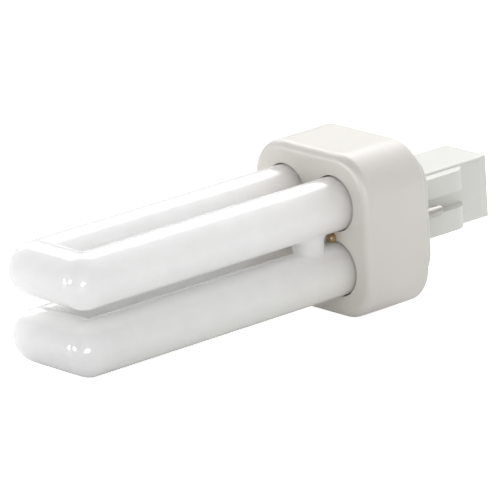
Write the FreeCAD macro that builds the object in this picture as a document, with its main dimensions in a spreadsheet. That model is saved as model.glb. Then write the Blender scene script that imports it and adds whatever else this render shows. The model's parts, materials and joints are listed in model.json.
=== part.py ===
"""Compact fluorescent lamp with two U-bent glass tubes and a two-pin base that holds its own starter.

X is the lamp's axis: the base's seating face lies at X = 0, the glass reaches towards +X, and the
post and the pins reach towards -X. Y runs across the lamp, from one pin to the other, and Z is up.
"""
import FreeCAD, Part
import Sketcher
import math
import os
import re

from FreeCAD import Placement, Rotation, Vector

SIZES = {
    # glass
    "tube_gap_across": 3.3,
    "tube_gap_up": 2.6,
    "tube_wall_gap": 2.75,
    "tube_reach": 75.9,
    "bridge_distance": 7.8,
    "bridge_inset": 2.5,
    "bridge_flare": 1.1,
    "tail_stand": 9.6,
    "tail_taper": 3.6,
    "tail_inset": 1.8,
    "pinch_inset": 2.2,
    "pinch_thickness": 2.6,
    "pinch_length": 3.6,
    "exhaust_diameter": 2.4,
    "exhaust_length": 2.0,
    # collar that holds the glass
    "housing_width": 36.6,
    "housing_depth": 17.4,
    "housing_corner_radius": 9.4,
    "housing_wall": 1.9,
    "front_wall": 2.2,
    "front_rounding": 1.9,
    "rear_rounding": 0.9,
    "lip_thickness": 1.7,
    "hole_clearance": 0.25,
    "stop_rib_width": 2.2,
    "stop_rib_height": 2.6,
    "cement_thickness": 3.5,
    # cap with the post
    "step_inset": 3.3,
    "step_depth": 3.8,
    "step_corner_drop": 1.7,
    "step_rounding": 0.8,
    "spigot_length": 3.6,
    "fit_clearance": 0.1,
    "cap_wall": 1.6,
    "cap_floor": 2.0,
    "snap_height": 0.8,
    "snap_length": 1.6,
    "snap_width": 8.0,
    "post_width": 13.6,
    "post_height": 14.1,
    "post_length": 24.9,
    "post_corner_radius": 0.8,
    "post_wall": 1.4,
    "post_end_wall": 1.6,
    "lead_in_length": 2.3,
    "lead_in_depth": 0.45,
    "rib_stand": 2.6,
    "rib_straight": 12.6,
    "rib_length": 16.9,
    "upper_rib_bottom": 1.9,
    "upper_rib_drop": 0.55,
    "lower_rib_top": 1.7,
    "lower_rib_drop": 0.35,
    # contact pins
    "pin_inset": 3.5,
    "pin_diameter": 2.35,
    "pin_length": 6.3,
    "pin_tip_rounding": 0.7,
    "pin_root_diameter": 2.8,
    "pin_clearance": 0.05,
    "pin_boss_diameter": 4.6,
    "pin_boss_height": 2.0,
    "pin_flange_diameter": 3.6,
    "pin_flange_thickness": 0.8,
    "pin_lug_diameter": 1.8,
    "pin_lug_length": 1.6,
    # starter
    "starter_diameter": 6.4,
    "starter_length": 17.0,
    "starter_neck_length": 2.0,
    "starter_neck_thickness": 2.2,
    "seat_gap": 0.1,
    "capacitor_width": 8.4,
    "capacitor_length": 10.0,
    "capacitor_thickness": 3.4,
    "capacitor_rounding": 0.9,
    "leg_diameter": 0.6,
    "leg_spacing": 2.0,
    "leg_length": 3.0,
    # wiring
    "wire_diameter": 0.6,
    "wire_height": 1.2,
    "wire_spacing": 3.6,
    "wire_rise": 1.6,
    "wire_side_step": 2.6,
    "wire_gap": 0.6,
    "solder_gap": 0.05,
    "sleeve_clearance": 0.05,
    "sleeve_diameter": 1.3,
    "sleeve_length": 3.0,
    # bead of cement squeezed out beside the glass
    "bead_radius": 1.4,
    "bead_inset": 1.05,
    "bead_drop": 0.6,
}

doc = FreeCAD.newDocument("CompactFluorescentLamp")
sheet = doc.addObject("Spreadsheet::Sheet", "Sizes")
for row, (alias, number) in enumerate(SIZES.items(), start=1):
    sheet.set(f"A{row}", alias)
    sheet.set(f"B{row}", str(number))
    sheet.setAlias(f"B{row}", alias)
doc.recompute()

ALIAS = re.compile(r"\b(" + "|".join(SIZES) + r")\b")
NEAR = 1e-4
ALONG_X = Rotation(Vector(0, 1, 0), 90)
ALONG_Y = Rotation(Vector(1, 0, 0), -90)
# The four straight limbs, as signs across and up
LIMBS = {"upper_right": (1, 1), "upper_left": (-1, 1), "lower_left": (-1, -1), "lower_right": (1, -1)}


def on_sheet(text):
    """Expression text in which every alias points at the sheet."""
    return ALIAS.sub(r"Sizes.\1", text)


def value(text):
    """Present value of an expression, as a plain number."""
    result = sheet.evalExpression(on_sheet(text))
    return float(getattr(result, "Value", result))


def bind(item, **properties):
    """Tie properties to expressions; a double underscore stands for the dot of a nested property."""
    for name, text in properties.items():
        item.setExpression(name.replace("__", "."), on_sheet(text))


# Places that several pieces share
FRONT_FACE = "step_depth + housing_depth"
CEMENT_BACK = f"{FRONT_FACE} - front_wall - cement_thickness"
TUBE_DIAMETER = "((housing_width - tube_gap_across) / 2 - housing_wall - tube_wall_gap)"
TUBE_RADIUS = f"({TUBE_DIAMETER} / 2)"
PITCH_ACROSS = f"({TUBE_DIAMETER} + tube_gap_across)"
PITCH_UP = f"({TUBE_DIAMETER} + tube_gap_up)"
BEND_AXIS = f"({FRONT_FACE} + tube_reach - {TUBE_RADIUS})"
BRIDGE_RADIUS = f"({TUBE_RADIUS} - bridge_inset)"
BEAD_ACROSS = f"({PITCH_ACROSS} / 2 - bead_inset)"
BRIDGE_PLACE = f"({FRONT_FACE} + bridge_distance)"
TAIL = "(cap_floor + tail_stand)"
STEP_WIDTH = "(housing_width - 2 * step_inset)"
STEP_CORNER = "(housing_corner_radius - step_corner_drop)"
PIN_SPACING = f"({STEP_WIDTH} - 2 * pin_inset)"
BOSS_TOP = "(cap_floor + pin_boss_height)"
PINCH_END = f"({TAIL} - tail_taper - pinch_length)"
CAVITY_HALF_HEIGHT = "(post_height / 2 - post_wall)"
STARTER_AXIS = f"(starter_diameter / 2 + seat_gap - {CAVITY_HALF_HEIGHT})"
CAPACITOR_AXIS = f"({CAVITY_HALF_HEIGHT} - capacitor_thickness / 2 - seat_gap)"
STARTER_BACK = "(post_end_wall + seat_gap - post_length)"
WIRE_LEVEL = "(cap_floor + wire_height)"
CAPACITOR_LEG_END = f"({WIRE_LEVEL} - wire_diameter / 2 - solder_gap)"
PINCH_Y = f"(-{PITCH_ACROSS} / 2)"


# Sketch and body helpers
def new_body(label):
    body = doc.addObject("PartDesign::Body", label)
    body.Label = label
    return body


def origin_plane(body, role):
    return next(item for item in body.Origin.OriginFeatures if item.Role == role)


def new_sketch(body, name, role="YZ_Plane", offset=None):
    """Sketch on one of the body's own planes, moved along its normal by an expression."""
    sketch = body.newObject("Sketcher::SketchObject", name)
    sketch.AttachmentSupport = [(origin_plane(body, role), "")]
    sketch.MapMode = "FlatFace"
    if offset is not None:
        bind(sketch, AttachmentOffset__Base__z=offset)
    return sketch


def fix(sketch, kind, geometry, text, name):
    """Driving dimension whose value is an expression."""
    index = sketch.addConstraint(Sketcher.Constraint(kind, *geometry, value(text)))
    sketch.renameConstraint(index, name)
    sketch.setExpression(f"Constraints.{name}", on_sheet(text))


def place_point(sketch, geometry, point, across, up, name):
    """Hold one end of a line or a centre at a place measured from the sketch's origin."""
    for kind, text, axis, tag in (("DistanceX", across, -2, "x"), ("DistanceY", up, -1, "y")):
        if text == "0":
            sketch.addConstraint(Sketcher.Constraint("PointOnObject", geometry, point, axis))
        else:
            fix(sketch, kind, (-1, 1, geometry, point), text, f"{name}_{tag}")


def add_outline(sketch, corners, name="corner"):
    """Closed outline of straight lines between corners given as pairs of expressions."""
    points = [Vector(value(across), value(up), 0) for across, up in corners]
    lines = [sketch.addGeometry(Part.LineSegment(start, points[(i + 1) % len(points)]), False)
             for i, start in enumerate(points)]
    for i, line in enumerate(lines):
        sketch.addConstraint(Sketcher.Constraint("Coincident", line, 2, lines[(i + 1) % len(lines)], 1))
        place_point(sketch, line, 1, *corners[i], f"{name}{i}")


def add_circle(sketch, diameter, across, up, name):
    centre = Vector(value(across), value(up), 0)
    circle = sketch.addGeometry(Part.Circle(centre, Vector(0, 0, 1), value(diameter) / 2), False)
    fix(sketch, "Diameter", (circle,), diameter, f"{name}_diameter")
    place_point(sketch, circle, 3, across, up, name)


def add_round_rectangle(sketch, width, height, radius):
    """Rectangle with four equal round corners, centred on the sketch's origin."""
    half_w, half_h, r = value(width) / 2, value(height) / 2, value(radius)
    centres = [Vector(sx * (half_w - r), sy * (half_h - r), 0)
               for sx, sy in ((1, 1), (-1, 1), (-1, -1), (1, -1))]
    arcs = []
    for quarter, centre in enumerate(centres):
        circle = Part.Circle(centre, Vector(0, 0, 1), r)
        start = quarter * math.pi / 2
        arcs.append(sketch.addGeometry(Part.ArcOfCircle(circle, start, start + math.pi / 2), False))
    sides = []
    for quarter in range(4):
        first = sketch.getPoint(arcs[quarter], 2)
        last = sketch.getPoint(arcs[(quarter + 1) % 4], 1)
        sides.append(sketch.addGeometry(Part.LineSegment(first, last), False))
    for quarter in range(4):
        after = (quarter + 1) % 4
        sketch.addConstraint(Sketcher.Constraint("Tangent", arcs[quarter], 2, sides[quarter], 1))
        sketch.addConstraint(Sketcher.Constraint("Tangent", sides[quarter], 2, arcs[after], 1))
        direction = "Horizontal" if quarter % 2 == 0 else "Vertical"
        sketch.addConstraint(Sketcher.Constraint(direction, sides[quarter]))
    for arc in arcs[1:]:
        sketch.addConstraint(Sketcher.Constraint("Equal", arcs[0], arc))
    fix(sketch, "Radius", (arcs[0],), radius, "corner_radius")
    fix(sketch, "DistanceY", (-1, 1, sides[0], 1), f"({height}) / 2", "top")
    fix(sketch, "DistanceX", (sides[1], 1, -1, 1), f"({width}) / 2", "left")
    fix(sketch, "DistanceY", (sides[2], 1, -1, 1), f"({height}) / 2", "bottom")
    fix(sketch, "DistanceX", (-1, 1, sides[3], 1), f"({width}) / 2", "right")


def add_feature(body, kind, name, sketch=None, **settings):
    """Feature on a sketch; settings given as text are expressions, others are plain values."""
    feature = body.newObject(f"PartDesign::{kind}", name)
    if sketch is not None:
        feature.Profile = sketch
    for key, setting in settings.items():
        if isinstance(setting, str):
            bind(feature, **{key: setting})
        else:
            setattr(feature, key, setting)
    body.Tip = feature
    doc.recompute()
    return feature


def edges_at(feature, place, reach):
    """Names of the edges that lie in the plane X = place and stand out at least to the given reach."""
    names = []
    for number, edge in enumerate(feature.Shape.Edges, start=1):
        box = edge.BoundBox
        flat = abs(box.XMin - place) < NEAR and abs(box.XMax - place) < NEAR
        outer = max(abs(box.YMin), abs(box.YMax), abs(box.ZMin), abs(box.ZMax)) > reach - NEAR
        if flat and outer:
            names.append(f"Edge{number}")
    return names


def round_edges(body, name, base, edges, radius):
    return add_feature(body, "Fillet", name, Base=(base, edges), Radius=radius)


def repeat_around(body, name, original, copies):
    """Copies of a feature spread evenly round the lamp's axis."""
    pattern = body.newObject("PartDesign::PolarPattern", name)
    pattern.Originals = [original]
    axis = next(item for item in body.Origin.OriginFeatures if item.Role == "X_Axis")
    pattern.Axis = (axis, [""])
    pattern.Angle = 360
    pattern.Occurrences = copies
    body.Tip = pattern
    doc.recompute()
    return pattern


def limb_place(signs):
    return f"{signs[0]} * {PITCH_ACROSS} / 2", f"{signs[1]} * {PITCH_UP} / 2"


# Glass: two U-bent tubes joined by a short bridge that flares into both
def round_glass(kind, name, across, up, along, **sizes):
    """Cylinder, cone or ball of the glass at a place given by expressions."""
    piece = doc.addObject(f"Part::{kind}", name)
    piece.Placement = Placement(Vector(), ALONG_X)
    bind(piece, Placement__Base__x=along, Placement__Base__y=across, Placement__Base__z=up, **sizes)
    return piece


def bent_tube(side, sign):
    """Two limbs and the cross tube between their ends, with a ball at each of the squared corners."""
    up = f"{sign} * {PITCH_UP} / 2"
    cross = round_glass("Cylinder", f"cross_tube_{side}", f"-{PITCH_ACROSS} / 2", up, BEND_AXIS,
                        Radius=TUBE_RADIUS, Height=PITCH_ACROSS)
    cross.Placement = Placement(cross.Placement.Base, ALONG_Y)
    pieces = [cross]
    for hand, hand_sign in (("right", 1), ("left", -1)):
        across = f"{hand_sign} * {PITCH_ACROSS} / 2"
        pieces += [
            round_glass("Sphere", f"corner_{side}_{hand}", across, up, BEND_AXIS, Radius=TUBE_RADIUS),
            round_glass("Cylinder", f"limb_{side}_{hand}", across, up, TAIL,
                        Radius=TUBE_RADIUS, Height=f"{BEND_AXIS} - {TAIL}")]
    return pieces


def limb_tail(name, signs):
    """Tapered end in the base; the left ones carry the pinch that holds an electrode."""
    across, up = limb_place(signs)
    pieces = [round_glass("Cone", f"tail_{name}", across, up, f"{TAIL} - tail_taper",
                          Radius1=f"{TUBE_RADIUS} - tail_inset", Radius2=TUBE_RADIUS,
                          Height="tail_taper")]
    if signs[0] < 0:
        pinch = doc.addObject("Part::Box", f"pinch_{name}")
        bind(pinch, Length=f"{TAIL} - {PINCH_END}", Width=f"{TUBE_DIAMETER} - 2 * pinch_inset",
             Height="pinch_thickness", Placement__Base__x=PINCH_END,
             Placement__Base__y=f"{across} - {TUBE_RADIUS} + pinch_inset",
             Placement__Base__z=f"{up} - pinch_thickness / 2")
        exhaust = round_glass("Cylinder", f"exhaust_{name}", across, up, f"{PINCH_END} - exhaust_length",
                              Radius="exhaust_diameter / 2", Height="exhaust_length + pinch_length / 2")
        pieces += [pinch, exhaust]
    return pieces


def glass_bridge():
    """Vertical neck that joins the two right-hand limbs close to the collar."""
    neck = doc.addObject("Part::Cylinder", "bridge_neck")
    bind(neck, Radius=BRIDGE_RADIUS, Height=PITCH_UP, Placement__Base__x=BRIDGE_PLACE,
         Placement__Base__y=f"{PITCH_ACROSS} / 2", Placement__Base__z=f"-{PITCH_UP} / 2")
    return neck


def bridge_creases(shape):
    """Numbers of the curved edges where the bridge meets the two limbs."""
    first, last = value(f"{BRIDGE_PLACE} - {BRIDGE_RADIUS}"), value(f"{BRIDGE_PLACE} + {BRIDGE_RADIUS}")
    found = []
    for number, edge in enumerate(shape.Edges, start=1):
        box = edge.BoundBox
        curved = min(box.XLength, box.YLength, box.ZLength) > NEAR
        if curved and box.XMin > first - NEAR and box.XMax < last + NEAR:
            found.append(number)
    return found


def discharge_tube():
    joined = doc.addObject("Part::MultiFuse", "joined_glass")
    pieces = [*bent_tube("upper", 1), *bent_tube("lower", -1), glass_bridge()]
    for name, signs in LIMBS.items():
        pieces += limb_tail(name, signs)
    joined.Shapes = pieces
    joined.Refine = True
    doc.recompute()
    glass = doc.addObject("Part::Fillet", "discharge_tube")
    glass.Base = joined
    flare = value("bridge_flare")
    glass.Edges = [(number, flare, flare) for number in bridge_creases(joined.Shape)]
    glass.Label = "discharge_tube"
    return glass


# Collar: a moulded cup whose front wall has a hole for each limb
def tube_housing():
    body = new_body("tube_housing")
    bind(body, Placement__Base__x="step_depth")
    outer = new_sketch(body, "housing_outline")
    add_round_rectangle(outer, "housing_width", "housing_width", "housing_corner_radius")
    add_feature(body, "Pad", "housing_block", outer, Length="housing_depth")

    mouth = new_sketch(body, "mouth_outline")
    opening = f"({STEP_WIDTH} + 2 * fit_clearance)"
    add_round_rectangle(mouth, opening, opening, f"{STEP_CORNER} + fit_clearance")
    add_feature(body, "Pocket", "mouth", mouth, Length="housing_depth - front_wall", Reversed=True)

    inside = new_sketch(body, "cavity_outline", offset="lip_thickness")
    cavity = "(housing_width - 2 * housing_wall)"
    add_round_rectangle(inside, cavity, cavity, "housing_corner_radius - housing_wall")
    add_feature(body, "Pocket", "cavity", inside,
                Length="housing_depth - front_wall - lip_thickness", Reversed=True)

    rib = new_sketch(body, "stop_rib_outline", offset="spigot_length")
    wall = "(housing_width / 2 - housing_wall / 2)"
    add_outline(rib, [("housing_width / 2 - housing_wall - stop_rib_height", "-stop_rib_width / 2"),
                      (wall, "-stop_rib_width / 2"), (wall, "stop_rib_width / 2"),
                      ("housing_width / 2 - housing_wall - stop_rib_height", "stop_rib_width / 2")])
    stop = add_feature(body, "Pad", "stop_rib", rib,
                       Length="housing_depth - front_wall - cement_thickness - spigot_length")
    repeat_around(body, "stop_ribs", stop, 4)

    holes = new_sketch(body, "hole_circles", offset="housing_depth")
    for name, signs in LIMBS.items():
        add_circle(holes, f"{TUBE_DIAMETER} + 2 * hole_clearance", *limb_place(signs), name)
    base = add_feature(body, "Pocket", "limb_holes", holes, Length="2 * front_wall")

    half = value("housing_width / 2")
    front = round_edges(body, "front_edge", base, edges_at(base, value("housing_depth"), half),
                        "front_rounding")
    round_edges(body, "rear_edge", front, edges_at(front, 0, half), "rear_rounding")
    return body


# Cap: a stepped plate with a hollow post, guide ribs beside the pins and snap ridges
def guide_rib(body, name, bottom, top):
    """Rib on the post's side whose outer face runs straight and then falls to the post in an arc."""
    sketch = new_sketch(body, f"{name}_outline", "XY_Plane", offset=bottom)
    side, outer = "post_width / 2", "(post_width / 2 + rib_stand)"
    inner = "(post_width / 2 - post_wall / 2)"
    corners = [("cap_floor / 2", inner), ("cap_floor / 2", outer), ("-rib_straight", outer),
               ("-rib_length", side), ("-rib_length", inner)]
    points = [Vector(value(across), value(up), 0) for across, up in corners]
    run, drop = points[2].x - points[3].x, points[2].y - points[3].y
    radius = (run * run + drop * drop) / (2 * drop)
    centre = Vector(points[2].x, points[2].y - radius, 0)
    end = math.atan2(points[3].y - centre.y, points[3].x - centre.x)
    lines = {}
    for first, last in ((0, 1), (1, 2), (3, 4), (4, 0)):
        lines[first] = sketch.addGeometry(Part.LineSegment(points[first], points[last]), False)
        place_point(sketch, lines[first], 1, *corners[first], f"corner{first}")
    circle = Part.Circle(centre, Vector(0, 0, 1), radius)
    arc = sketch.addGeometry(Part.ArcOfCircle(circle, math.pi / 2, end), False)
    sketch.addConstraint(Sketcher.Constraint("Coincident", lines[0], 2, lines[1], 1))
    place_point(sketch, lines[1], 2, *corners[2], "straight_end")
    fix(sketch, "DistanceX", (-1, 1, arc, 3), corners[2][0], "arc_centre")
    sketch.addConstraint(Sketcher.Constraint("Coincident", lines[1], 2, arc, 1))
    sketch.addConstraint(Sketcher.Constraint("Coincident", arc, 2, lines[3], 1))
    sketch.addConstraint(Sketcher.Constraint("Coincident", lines[3], 2, lines[4], 1))
    sketch.addConstraint(Sketcher.Constraint("Coincident", lines[4], 2, lines[0], 1))
    return add_feature(body, "Pad", name, sketch, Length=f"({top}) - ({bottom})")


def base_cap():
    body = new_body("base_cap")
    step = new_sketch(body, "step_outline")
    add_round_rectangle(step, STEP_WIDTH, STEP_WIDTH, STEP_CORNER)
    add_feature(body, "Pad", "step", step, Length="step_depth + spigot_length")

    post = new_sketch(body, "post_outline")
    add_round_rectangle(post, "post_width", "post_height", "post_corner_radius")
    add_feature(body, "Pad", "post", post, Length="post_length", Reversed=True)

    upper = guide_rib(body, "upper_rib", "upper_rib_bottom", "post_height / 2 - upper_rib_drop")
    lower = guide_rib(body, "lower_rib", "lower_rib_drop - post_height / 2", "-lower_rib_top")
    mirror = body.newObject("PartDesign::Mirrored", "left_ribs")
    mirror.Originals = [upper, lower]
    mirror.MirrorPlane = (origin_plane(body, "XZ_Plane"), [""])
    body.Tip = mirror
    doc.recompute()

    lead_in = new_sketch(body, "lead_in_outline", "XY_Plane")
    for side, sign in (("right", ""), ("left", "-")):
        add_outline(lead_in, [("-post_length", f"{sign}(post_width / 2 - lead_in_depth)"),
                              ("-post_length", f"{sign}(post_width / 2)"),
                              ("lead_in_length - post_length", f"{sign}(post_width / 2)")], side)
    add_feature(body, "Pocket", "lead_in", lead_in, Length="2 * post_height", Midplane=True)

    room = new_sketch(body, "room_outline", offset="cap_floor")
    inner = f"({STEP_WIDTH} - 2 * cap_wall)"
    add_round_rectangle(room, inner, inner, f"{STEP_CORNER} - cap_wall")
    add_feature(body, "Pocket", "room", room, Length="step_depth + spigot_length", Reversed=True)

    bosses = new_sketch(body, "boss_circles", offset="cap_floor / 2")
    add_circle(bosses, "pin_boss_diameter", f"{PIN_SPACING} / 2", "0", "right")
    add_circle(bosses, "pin_boss_diameter", f"-{PIN_SPACING} / 2", "0", "left")
    add_feature(body, "Pad", "pin_bosses", bosses, Length="cap_floor / 2 + pin_boss_height")

    starter_room = new_sketch(body, "starter_room_outline", offset="cap_floor")
    add_round_rectangle(starter_room, "post_width - 2 * post_wall", "post_height - 2 * post_wall",
                        "post_corner_radius / 2")
    add_feature(body, "Pocket", "starter_room", starter_room,
                Length="cap_floor + post_length - post_end_wall")

    bores = new_sketch(body, "pin_bores", offset=BOSS_TOP)
    add_circle(bores, "pin_root_diameter + 2 * pin_clearance", f"{PIN_SPACING} / 2", "0", "right")
    add_circle(bores, "pin_root_diameter + 2 * pin_clearance", f"-{PIN_SPACING} / 2", "0", "left")
    add_feature(body, "Pocket", "pin_holes", bores, Length=f"2 * {BOSS_TOP}")

    snap = new_sketch(body, "snap_outline", "XY_Plane")
    edge = f"{STEP_WIDTH} / 2"
    behind = "(step_depth + lip_thickness + fit_clearance)"
    add_outline(snap, [(behind, f"{edge} - cap_wall / 2"), (behind, f"{edge} + snap_height"),
                       (f"{behind} + snap_length", edge),
                       (f"{behind} + snap_length", f"{edge} - cap_wall / 2")])
    ridge = add_feature(body, "Pad", "snap_ridge", snap, Length="snap_width", Midplane=True)
    base = repeat_around(body, "snap_ridges", ridge, 4)

    round_edges(body, "step_edge", base, edges_at(base, 0, value(f"{STEP_WIDTH} / 2")), "step_rounding")
    return body


def contact_pin(side, sign):
    """Turned pin: round tip, shank, thicker root in the cap, flange on the boss and a solder lug."""
    body = new_body(f"contact_pin_{side}")
    bind(body, Placement__Base__y=f"{sign}{PIN_SPACING} / 2")
    profile = new_sketch(body, f"pin_profile_{side}", "XY_Plane")
    flange_end = f"({BOSS_TOP} + pin_flange_thickness)"
    lug_end = f"({flange_end} + pin_lug_length)"
    add_outline(profile, [("-pin_length", "0"), ("-pin_length", "pin_diameter / 2"),
                          ("0", "pin_diameter / 2"), ("0", "pin_root_diameter / 2"),
                          (BOSS_TOP, "pin_root_diameter / 2"), (BOSS_TOP, "pin_flange_diameter / 2"),
                          (flange_end, "pin_flange_diameter / 2"), (flange_end, "pin_lug_diameter / 2"),
                          (lug_end, "pin_lug_diameter / 2"), (lug_end, "0")])
    turned = add_feature(body, "Revolution", f"pin_turning_{side}", profile,
                         ReferenceAxis=(profile, ["H_Axis"]), Angle=360)
    tip = edges_at(turned, -value("pin_length"), value("pin_diameter / 2"))
    round_edges(body, f"pin_tip_{side}", turned, tip, "pin_tip_rounding")
    return body


# Starter parts that lie inside the post
def starter_bulb():
    body = new_body("starter_bulb")
    bind(body, Placement__Base__x=STARTER_BACK, Placement__Base__z=STARTER_AXIS)
    profile = new_sketch(body, "bottle_profile", "XY_Plane")
    shoulder = "starter_length - starter_diameter / 4"
    radius = "starter_diameter / 2"
    neck_end = "starter_length + starter_neck_length"
    add_outline(profile, [("0", "0"), ("0", f"{radius} / 2"), ("starter_diameter / 4", radius),
                          (shoulder, radius), ("starter_length", "starter_neck_thickness / 2"),
                          (neck_end, "starter_neck_thickness / 2"), (neck_end, "0")])
    add_feature(body, "Revolution", "bottle", profile, ReferenceAxis=(profile, ["H_Axis"]), Angle=360)
    legs = new_sketch(body, "bottle_legs", offset=neck_end)
    add_circle(legs, "leg_diameter", "leg_spacing / 2", "0", "right")
    add_circle(legs, "leg_diameter", "-leg_spacing / 2", "0", "left")
    add_feature(body, "Pad", "bottle_wires", legs, Length="leg_length")
    return body


def starter_capacitor():
    body = new_body("starter_capacitor")
    bind(body, Placement__Base__x="-capacitor_length", Placement__Base__z=CAPACITOR_AXIS)
    outline = new_sketch(body, "capacitor_outline")
    add_round_rectangle(outline, "capacitor_width", "capacitor_thickness", "capacitor_rounding")
    add_feature(body, "Pad", "capacitor_body", outline, Length="capacitor_length")
    legs = new_sketch(body, "capacitor_legs", offset="capacitor_length")
    add_circle(legs, "leg_diameter", "capacitor_width / 4", "0", "right")
    add_circle(legs, "leg_diameter", "-capacitor_width / 4", "0", "left")
    add_feature(body, "Pad", "capacitor_wires", legs, Length=CAPACITOR_LEG_END)
    return body


# Wiring between the electrodes, the pins and the starter
def wire_run(label, corners):
    """Round wire bent sharply at each corner, where both straight runs reach to the wire's far side."""
    points = [Vector(*[value(text) for text in corner]) for corner in corners]
    radius = value("wire_diameter") / 2
    runs = []
    for number, (start, end) in enumerate(zip(points, points[1:])):
        direction = (end - start).normalize()
        first = start if number == 0 else start - direction * radius
        last = end if number == len(points) - 2 else end + direction * radius
        runs.append(Part.makeCylinder(radius, (last - first).Length, first, direction))
    wire = doc.addObject("Part::Feature", label)
    wire.Shape = runs[0].fuse(runs[1:])
    wire.Label = label
    return wire


def lead_wires():
    """Two wires from each pinch, one to a pin and one to the starter, and a link to the capacitor."""
    far = f"({PINCH_Y} - wire_spacing / 2)"
    near = f"({PINCH_Y} + wire_spacing / 2)"
    upper, lower = f"({PITCH_UP} / 2)", f"(-{PITCH_UP} / 2)"
    lug_end = f"({BOSS_TOP} + pin_flange_thickness + pin_lug_length)"
    above_lug = f"({lug_end} + wire_rise)"
    beside_pin = "(pin_boss_diameter / 2 + wire_diameter / 2 + wire_gap)"
    left_pin, right_pin = f"(-{PIN_SPACING} / 2)", f"({PIN_SPACING} / 2)"
    starter_joint = f"({STARTER_BACK} + starter_length + starter_neck_length + leg_length)"
    turn = f"({lower} + wire_side_step)"
    link_across = "(-leg_spacing / 2 - wire_side_step)"
    link_share = f"(({link_across} - {far}) / (-leg_spacing / 2 - {far}))"
    link_up = f"({turn} + {link_share} * ({STARTER_AXIS} - {turn}))"
    link_level = f"({WIRE_LEVEL} + wire_diameter + wire_rise)"
    return [
        wire_run("pin_wire_left", [
            (PINCH_END, far, upper), (WIRE_LEVEL, far, upper), (WIRE_LEVEL, left_pin, beside_pin),
            (above_lug, left_pin, beside_pin), (above_lug, left_pin, "0"), (lug_end, left_pin, "0")]),
        wire_run("pin_wire_right", [
            (PINCH_END, near, lower), (WIRE_LEVEL, near, lower),
            (WIRE_LEVEL, right_pin, f"-{beside_pin}"), (above_lug, right_pin, f"-{beside_pin}"),
            (above_lug, right_pin, "0"), (lug_end, right_pin, "0")]),
        wire_run("starter_wire_upper", [
            (PINCH_END, near, upper), (WIRE_LEVEL, near, upper),
            (WIRE_LEVEL, "-capacitor_width / 4", CAPACITOR_AXIS),
            (WIRE_LEVEL, "leg_spacing / 2", STARTER_AXIS),
            (starter_joint, "leg_spacing / 2", STARTER_AXIS)]),
        wire_run("starter_wire_lower", [
            (PINCH_END, far, lower), (WIRE_LEVEL, far, lower), (WIRE_LEVEL, far, turn),
            (WIRE_LEVEL, "-leg_spacing / 2", STARTER_AXIS),
            (starter_joint, "-leg_spacing / 2", STARTER_AXIS)]),
        wire_run("capacitor_link", [
            (CAPACITOR_LEG_END, "capacitor_width / 4", CAPACITOR_AXIS),
            (link_level, "capacitor_width / 4", CAPACITOR_AXIS),
            (link_level, link_across, link_up),
            (f"({WIRE_LEVEL} + wire_diameter / 2 + solder_gap)", link_across, link_up)]),
    ]


def insulating_sleeve(label, across):
    """Short tube over the last straight stretch of a starter wire."""
    back = f"({STARTER_BACK} + starter_length + starter_neck_length + leg_length + seat_gap)"
    bore = "wire_diameter + 2 * sleeve_clearance"
    rounds = []
    for name, diameter in (("outside", "sleeve_diameter"), ("bore", bore)):
        rod = doc.addObject("Part::Cylinder", f"{label}_{name}")
        rod.Placement = Placement(Vector(), ALONG_X)
        bind(rod, Radius=f"({diameter}) / 2", Height="sleeve_length",
             Placement__Base__x=back, Placement__Base__y=across, Placement__Base__z=STARTER_AXIS)
        rounds.append(rod)
    sleeve = doc.addObject("Part::Cut", label)
    sleeve.Base, sleeve.Tool = rounds
    sleeve.Label = label
    return sleeve


def tube_cement():
    body = new_body("tube_cement")
    bind(body, Placement__Base__x=CEMENT_BACK)
    outline = new_sketch(body, "cement_outline")
    width = "(housing_width - 2 * housing_wall)"
    add_round_rectangle(outline, width, width, "housing_corner_radius - housing_wall")
    for name, signs in LIMBS.items():
        add_circle(outline, TUBE_DIAMETER, *limb_place(signs), name)
    add_feature(body, "Pad", "cement_fill", outline, Length="cement_thickness")
    return body


def cement_bead():
    """Small bead that stands on the collar's face between the right-hand limbs, against the glass."""
    bead = doc.addObject("Part::Sphere", "bead")
    bind(bead, Radius="bead_radius",
         Placement__Base__x=FRONT_FACE, Placement__Base__y=BEAD_ACROSS, Placement__Base__z="-bead_drop")
    front = doc.addObject("Part::Box", "bead_front")
    bind(front, Length="2 * bead_radius", Width="4 * bead_radius", Height="4 * bead_radius",
         Placement__Base__x=FRONT_FACE, Placement__Base__y=f"{BEAD_ACROSS} - 2 * bead_radius",
         Placement__Base__z="-bead_drop - 2 * bead_radius")
    half = doc.addObject("Part::Common", "bead_half")
    half.Base = bead
    half.Tool = front
    piece = half
    for name in ("upper_right", "lower_right"):
        across, up = limb_place(LIMBS[name])
        limb = round_glass("Cylinder", f"bead_seat_{name}", across, up, "step_depth",
                           Radius=TUBE_RADIUS, Height="tube_reach")
        cut = doc.addObject("Part::Cut", f"bead_against_{name}")
        cut.Base = piece
        cut.Tool = limb
        piece = cut
    piece.Label = "cement_bead"
    return piece


PIECES = [
    discharge_tube(), tube_housing(), tube_cement(), cement_bead(), base_cap(),
    contact_pin("left", "-"), contact_pin("right", ""), starter_bulb(), starter_capacitor(), *lead_wires(),
    insulating_sleeve("starter_sleeve_upper", "leg_spacing / 2"),
    insulating_sleeve("starter_sleeve_lower", "-leg_spacing / 2")]
doc.recompute()

for item in doc.Objects:
    if "Invalid" in item.State or "Error" in item.State:
        raise RuntimeError(f"{item.Label} failed: {item.State}")
os.makedirs("parts", exist_ok=True)
for piece in PIECES:
    shape = piece.Shape
    if shape.isNull() or not shape.isValid():
        raise RuntimeError(f"{piece.Label} has no valid shape")
    print(f"{piece.Label}: {len(shape.Solids)} solid(s), {shape.Volume:.1f} mm3, {len(shape.Faces)} faces")
    shape.exportStep(f"parts/{piece.Label}.step")
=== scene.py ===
"""Looks of the compact fluorescent lamp: coated glass, moulded plastic, plated pins and light."""
import json
import math

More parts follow.
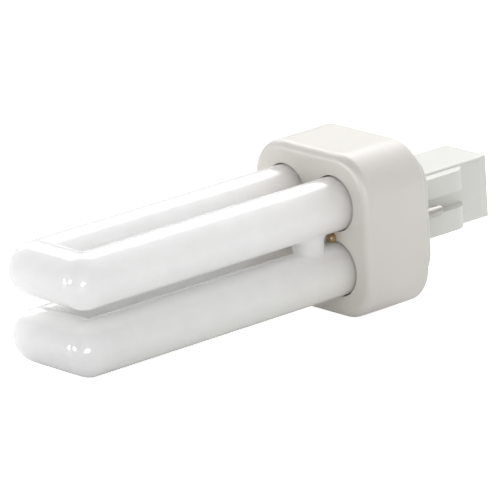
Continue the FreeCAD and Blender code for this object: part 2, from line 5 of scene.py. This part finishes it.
import bpy
from mathutils import Matrix, Vector


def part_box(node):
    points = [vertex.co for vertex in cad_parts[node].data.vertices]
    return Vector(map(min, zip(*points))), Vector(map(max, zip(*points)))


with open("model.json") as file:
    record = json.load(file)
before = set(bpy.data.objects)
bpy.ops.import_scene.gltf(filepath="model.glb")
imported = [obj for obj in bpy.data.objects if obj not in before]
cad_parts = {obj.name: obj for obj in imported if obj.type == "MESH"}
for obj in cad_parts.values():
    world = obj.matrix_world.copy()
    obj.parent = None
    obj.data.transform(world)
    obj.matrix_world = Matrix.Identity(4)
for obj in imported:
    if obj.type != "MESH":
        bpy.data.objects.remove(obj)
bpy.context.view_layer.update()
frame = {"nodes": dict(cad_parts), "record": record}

MM = 0.001
WHITE = (1, 1, 1, 1)
COLLAR_LOW, COLLAR_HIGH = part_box("tube_housing")
GLASS_LOW, GLASS_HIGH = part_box("discharge_tube")
COLLAR_FACE = COLLAR_HIGH.x
COLLAR_ROUNDING = 1.9 * MM
TUBE_RADIUS = 6.0 * MM


# Node helpers
def new_material(name):
    material = bpy.data.materials.new(name)
    material.use_nodes = True
    return material, material.node_tree, material.node_tree.nodes["Principled BSDF"]


def add_node(tree, kind, settings=(), **inputs):
    """Shader node with its settings and the values or links of its named inputs."""
    node = tree.nodes.new(kind)
    for name, setting in dict(settings).items():
        setattr(node, name, setting)
    for name, given in inputs.items():
        socket = node.inputs[name.replace("_", " ")]
        if isinstance(given, bpy.types.NodeSocket):
            tree.links.new(given, socket)
        else:
            socket.default_value = given
    return node


def set_shader(shader, **numbers):
    """Numbers and colours that are the same all over the surface."""
    for name, number in numbers.items():
        shader.inputs[name.replace("_", " ")].default_value = number


def object_place(tree):
    return add_node(tree, "ShaderNodeTexCoord").outputs["Object"]


def noise(tree, place, scale, detail=2.0, roughness=0.5):
    node = add_node(tree, "ShaderNodeTexNoise",
                    Vector=place, Scale=scale, Detail=detail, Roughness=roughness)
    return node.outputs["Fac"]


def map_range(tree, source, low, high, new_low=0.0, new_high=1.0):
    """Number that goes from new_low to new_high as the source goes from low to high."""
    node = add_node(tree, "ShaderNodeMapRange", From_Min=low, From_Max=high,
                    To_Min=new_low, To_Max=new_high)
    tree.links.new(source, node.inputs["Value"])
    return node.outputs["Result"]


CLOUD_STOPS = (0.3, 0.7)


def clouded(tree, place, scale, detail, dark, light):
    """Colour that drifts between a dark and a light one in soft clouds."""
    node = add_node(tree, "ShaderNodeValToRGB", Fac=noise(tree, place, scale, detail))
    for point, position, colour in zip(node.color_ramp.elements, CLOUD_STOPS, (dark, light)):
        point.position = position
        point.color = (*colour, 1)
    return node.outputs["Color"]


COLOUR_FACTOR, COLOUR_FIRST, COLOUR_SECOND, COLOUR_RESULT = 0, 6, 7, 2


def mix_colour(tree, factor, first, second, blend="MIX"):
    """Two colours mixed by a factor. Each of the three is a socket or a plain value."""
    node = add_node(tree, "ShaderNodeMix", {"data_type": "RGBA", "blend_type": blend})
    for index, given in ((COLOUR_FACTOR, factor), (COLOUR_FIRST, first), (COLOUR_SECOND, second)):
        if isinstance(given, bpy.types.NodeSocket):
            tree.links.new(given, node.inputs[index])
        elif isinstance(given, tuple):
            node.inputs[index].default_value = (*given, 1)
        else:
            node.inputs[index].default_value = given
    return node.outputs[COLOUR_RESULT]


def soft_normal(tree, radius):
    """Normal that rounds sharp creases by a radius, in the shading only."""
    return add_node(tree, "ShaderNodeBevel", {"samples": 6}, Radius=radius).outputs["Normal"]


# Glass: its tints, painted shade and painted light follow the place along the lamp (X) and the
# height (Z)
COAT = (0.868, 0.87, 0.865)
CREAM, CREAM_LENGTH = (0.83, 0.80, 0.765), 28 * MM
LOWER_TINT, LOWER_TINT_HEIGHTS = (0.985, 0.99, 0.945), (-4 * MM, -9 * MM)
# Painted shade: the glass colour darkens over the last 16 mm before the tube ends, at the bends.
PAINTED_TIP_SHADE, TIP_SHADE_BEFORE_TIPS = (0.82, 0.825, 0.82), (16 * MM, 2 * MM)
# Painted light: the glass colour is whiter where the upper and lower tubes face each other.
PAINTED_GAP_LIGHT, GAP_LIGHT_HEIGHTS = (0.985, 0.975, 0.968), (3.2 * MM, 1.4 * MM)
MOTTLE = 0.965
LIGHT_DEPTH = 16 * MM
POWDER_ROUNDING, GLASS_ROUNDING = 1.9 * MM, 0.4 * MM


def coated_glass():
    """White powder under clear glass: creamier towards the collar, yellower at the lower tubes'
    underside, painted shade at the bends, painted light where the tubes face each other, faintly
    mottled."""
    material, tree, shader = new_material("phosphor_glass")
    place = object_place(tree)
    split = add_node(tree, "ShaderNodeSeparateXYZ", Vector=place)
    along, height = split.outputs["X"], split.outputs["Z"]
    cream = map_range(tree, along, COLLAR_FACE + CREAM_LENGTH, COLLAR_FACE)
    body = mix_colour(tree, cream, COAT, CREAM)
    lower = map_range(tree, height, *LOWER_TINT_HEIGHTS)
    body = mix_colour(tree, lower, body, LOWER_TINT, "MULTIPLY")
    # Painted shade towards the tube ends.
    tip_shade = map_range(tree, along, *(GLASS_HIGH.x - length for length in TIP_SHADE_BEFORE_TIPS))
    body = mix_colour(tree, tip_shade, body, PAINTED_TIP_SHADE)
    # Painted light where the upper and lower tubes face each other, near Z = 0.
    from_middle = add_node(tree, "ShaderNodeMath", {"operation": "ABSOLUTE"}, Value=height)
    gap_light = map_range(tree, from_middle.outputs["Value"], *GAP_LIGHT_HEIGHTS)
    body = mix_colour(tree, gap_light, body, PAINTED_GAP_LIGHT)
    mottle = clouded(tree, place, scale=220.0, detail=4.0, dark=(MOTTLE,) * 3, light=(1.0,) * 3)
    colour = mix_colour(tree, 1.0, body, mottle, "MULTIPLY")
    tree.links.new(colour, shader.inputs["Base Color"])
    set_shader(shader, Roughness=0.55, Specular_IOR_Level=0.2, Subsurface_Weight=1.0,
               Subsurface_Radius=(1.0, 1.0, 1.0), Subsurface_Scale=LIGHT_DEPTH,
               Coat_Weight=1.0, Coat_Roughness=0.03, Coat_IOR=1.5)
    tree.links.new(soft_normal(tree, POWDER_ROUNDING), shader.inputs["Normal"])
    tree.links.new(soft_normal(tree, GLASS_ROUNDING), shader.inputs["Coat Normal"])
    return material


# Plastic and metal
PLASTIC_ROUGHNESS = (0.32, 0.46)
PLASTIC_ROUNDING = 0.25 * MM
GRAIN_STRENGTH, GRAIN_DEPTH = 0.12, 0.02 * MM
PIN_DARK, PIN_LIGHT = (0.42, 0.41, 0.38), (0.56, 0.545, 0.51)
PIN_ROUGHNESS = (0.36, 0.52)


def moulded_plastic(name, light, dark):
    """Satin white plastic with faint clouds of colour and gloss, a fine grain and eased edges."""
    material, tree, shader = new_material(name)
    place = object_place(tree)
    tint = clouded(tree, place, scale=60.0, detail=3.0, dark=dark, light=light)
    tree.links.new(tint, shader.inputs["Base Color"])
    gloss = map_range(tree, noise(tree, place, scale=400.0), 0, 1, *PLASTIC_ROUGHNESS)
    tree.links.new(gloss, shader.inputs["Roughness"])
    grain = noise(tree, place, scale=2600.0, detail=3.0, roughness=0.6)
    bump = add_node(tree, "ShaderNodeBump", Strength=GRAIN_STRENGTH, Distance=GRAIN_DEPTH,
                    Height=grain, Normal=soft_normal(tree, PLASTIC_ROUNDING))
    tree.links.new(bump.outputs["Normal"], shader.inputs["Normal"])
    return material


def plated_metal():
    """Dull plating with clouds of colour and gloss."""
    material, tree, shader = new_material("pin_metal")
    place = object_place(tree)
    tint = clouded(tree, place, scale=500.0, detail=4.0, dark=PIN_DARK, light=PIN_LIGHT)
    tree.links.new(tint, shader.inputs["Base Color"])
    set_shader(shader, Metallic=1.0)
    gloss = map_range(tree, noise(tree, place, scale=900.0), 0, 1, *PIN_ROUGHNESS)
    tree.links.new(gloss, shader.inputs["Roughness"])
    return material


def plain_finish(name, light, dark, roughness, metallic=0.0, coat=0.0):
    """Lightly clouded finish for the small and the hidden pieces."""
    material, tree, shader = new_material(name)
    tint = clouded(tree, object_place(tree), scale=700.0, detail=4.0, dark=dark, light=light)
    tree.links.new(tint, shader.inputs["Base Color"])
    set_shader(shader, Roughness=roughness, Metallic=metallic, Coat_Weight=coat)
    return material


FINISHES = {
    "phosphor_glass": coated_glass(),
    "white_plastic": moulded_plastic("white_plastic", (0.725, 0.704, 0.665), (0.705, 0.684, 0.643)),
    "cap_plastic": moulded_plastic("cap_plastic", (0.715, 0.715, 0.68), (0.695, 0.695, 0.657)),
    "cement": plain_finish("cement", (0.16, 0.125, 0.08), (0.11, 0.08, 0.05), 0.9),
    "amber_cement": plain_finish(
        "amber_cement", (0.40, 0.25, 0.10), (0.26, 0.14, 0.05), 0.35, coat=0.5),
    "pin_metal": plated_metal(),
    "starter_glass": plain_finish(
        "starter_glass", (0.75, 0.78, 0.78), (0.7, 0.73, 0.73), 0.08, coat=1.0),
    "capacitor_resin": plain_finish(
        "capacitor_resin", (0.5, 0.16, 0.07), (0.42, 0.12, 0.05), 0.3, coat=0.5),
    "wire_metal": plain_finish(
        "wire_metal", (0.72, 0.7, 0.66), (0.6, 0.58, 0.55), 0.3, metallic=1.0),
    "sleeve_plastic": plain_finish("sleeve_plastic", (0.85, 0.85, 0.8), (0.8, 0.8, 0.75), 0.6),
}
for part in frame["record"]["subparts"]:
    slots = frame["nodes"][part["node"]].data.materials
    slots.clear()
    slots.append(FINISHES[part["material_slot"]])


# Stage: the floor leans as the lamp does when it lies on its collar's edge and its lower tubes' end
FLOOR_SIZE = 12.0
FLOOR_GAP = 0.02 * MM
PAPER = (0.9, 0.9, 0.9, 1)
PAPER_GLOW, PAPER_SEEN = 0.08, 0.8


def rest_line():
    """Slope, and height at X = 0, of the line under the collar's front edge and the tubes' end."""
    edge = Vector((COLLAR_FACE - COLLAR_ROUNDING, COLLAR_LOW.z + COLLAR_ROUNDING))
    end = Vector((GLASS_HIGH.x - TUBE_RADIUS, GLASS_LOW.z + TUBE_RADIUS))
    across = end - edge
    lean = (math.atan2(across.y, across.x)
            - math.asin((TUBE_RADIUS - COLLAR_ROUNDING) / across.length))
    height = edge.y - COLLAR_ROUNDING / math.cos(lean) - edge.x * math.tan(lean)
    return lean, height


def floor_paper():
    """White paper that is seen brighter than it lights the lamp."""
    material, tree, shader = new_material("floor_paper")
    set_shader(shader, Base_Color=PAPER, Roughness=0.9, Specular_IOR_Level=0.0,
               Emission_Color=WHITE)
    seen = add_node(tree, "ShaderNodeLightPath").outputs["Is Camera Ray"]
    glow = map_range(tree, seen, 0, 1, PAPER_GLOW, PAPER_SEEN)
    tree.links.new(glow, shader.inputs["Emission Strength"])
    return material


lean, floor_height = rest_line()
bpy.ops.mesh.primitive_plane_add(size=FLOOR_SIZE)
floor = bpy.context.object
floor.name = "floor"
floor.location = (0, 0, floor_height - FLOOR_GAP)
floor.rotation_euler = (0, -lean, 0)
floor.data.materials.append(floor_paper())


# Light: a grey surround, one long bright panel behind the lamp for the glass's highlight, three
# soft panels before it, and three small spots that only show as reflections on the tubes' ends
LIT_POINT = Vector((COLLAR_FACE + 20 * MM, 0, 0))
SURROUND, SURROUND_SEEN = 0.55, 1.0
LIGHTS = (
    # name, azimuth and elevation (degrees), distance, width, height (metres), radiance,
    # whether it lights the lamp, whether it is reflected
    ("back_panel", -143, 40, 1.2, 2.4, 0.60, 3.3, True, True),
    ("back_gleam", -143, 38, 1.3, 2.6, 0.50, 1.6, False, True),
    ("front_panel", 47, 28, 1.4, 1.0, 1.0, 0.85, True, True),
    ("side_panel", 100, 25, 1.2, 1.0, 0.8, 0.06, True, True),
    ("left_panel", -62, 12, 1.0, 0.50, 0.50, 2.3, True, False),
    ("left_spot", -35, 8, 1.0, 0.18, 0.18, 34.0, False, True),
    ("middle_spot", -8, 12, 1.0, 0.20, 0.18, 34.0, False, True),
    ("right_spot", 45, 8, 1.0, 0.30, 0.20, 26.0, False, True),
)


def direction(azimuth, elevation):
    """Unit vector; azimuth from +X towards +Y, elevation above the horizon, in degrees."""
    a, e = math.radians(azimuth), math.radians(elevation)
    return Vector((math.cos(e) * math.cos(a), math.cos(e) * math.sin(a), math.sin(e)))


def soft_box(name, azimuth, elevation, distance, width, height, radiance, lights, reflected):
    """Rectangular light aimed at the lamp."""
    data = bpy.data.lights.new(name, "AREA")
    data.shape = "RECTANGLE"
    data.size, data.size_y = width, height
    data.energy = radiance * math.pi * width * height
    box = bpy.data.objects.new(name, data)
    bpy.context.collection.objects.link(box)
    towards = direction(azimuth, elevation)
    box.location = LIT_POINT + towards * distance
    box.rotation_mode = "QUATERNION"
    box.rotation_quaternion = towards.to_track_quat("Z", "Y")
    box.visible_camera = False
    box.visible_diffuse = lights
    box.visible_glossy = reflected


def light_surround():
    """Even light from all round, seen as white."""
    world = bpy.data.worlds.new("surround")
    bpy.context.scene.world = world
    world.use_nodes = True
    tree = world.node_tree
    background = tree.nodes["Background"]
    seen = add_node(tree, "ShaderNodeLightPath").outputs["Is Camera Ray"]
    strength = map_range(tree, seen, 0, 1, SURROUND, SURROUND_SEEN)
    tree.links.new(strength, background.inputs["Strength"])
    background.inputs["Color"].default_value = WHITE


for settings in LIGHTS:
    soft_box(*settings)
light_surround()
bpy.context.scene.view_settings.view_transform = "Standard"


# Camera at the photograph's angle
AIM = Vector((43.74, 5.68, 2.08)) * MM
CAMERA_AZIMUTH, CAMERA_ELEVATION, CAMERA_ROLL = 49.624, 17.078, -3.559
CAMERA_DISTANCE = 1317.8 * MM
LENS, SENSOR_WIDTH = 446.1, 36.0


def place_camera():
    data = bpy.data.cameras.new("camera")
    data.lens, data.sensor_width = LENS, SENSOR_WIDTH
    camera = bpy.data.objects.new("camera", data)
    bpy.context.collection.objects.link(camera)
    towards = direction(CAMERA_AZIMUTH, CAMERA_ELEVATION)
    right = Vector((0, 0, 1)).cross(towards).normalized()
    roll = math.radians(CAMERA_ROLL)
    rolled_right = right * math.cos(roll) + towards.cross(right) * math.sin(roll)
    rolled_up = towards.cross(rolled_right)
    turn = Matrix((rolled_right, rolled_up, towards)).transposed()
    camera.rotation_mode = "QUATERNION"
    camera.rotation_quaternion = turn.to_quaternion()
    camera.location = AIM + towards * CAMERA_DISTANCE
    return camera


bpy.context.scene.camera = place_camera()
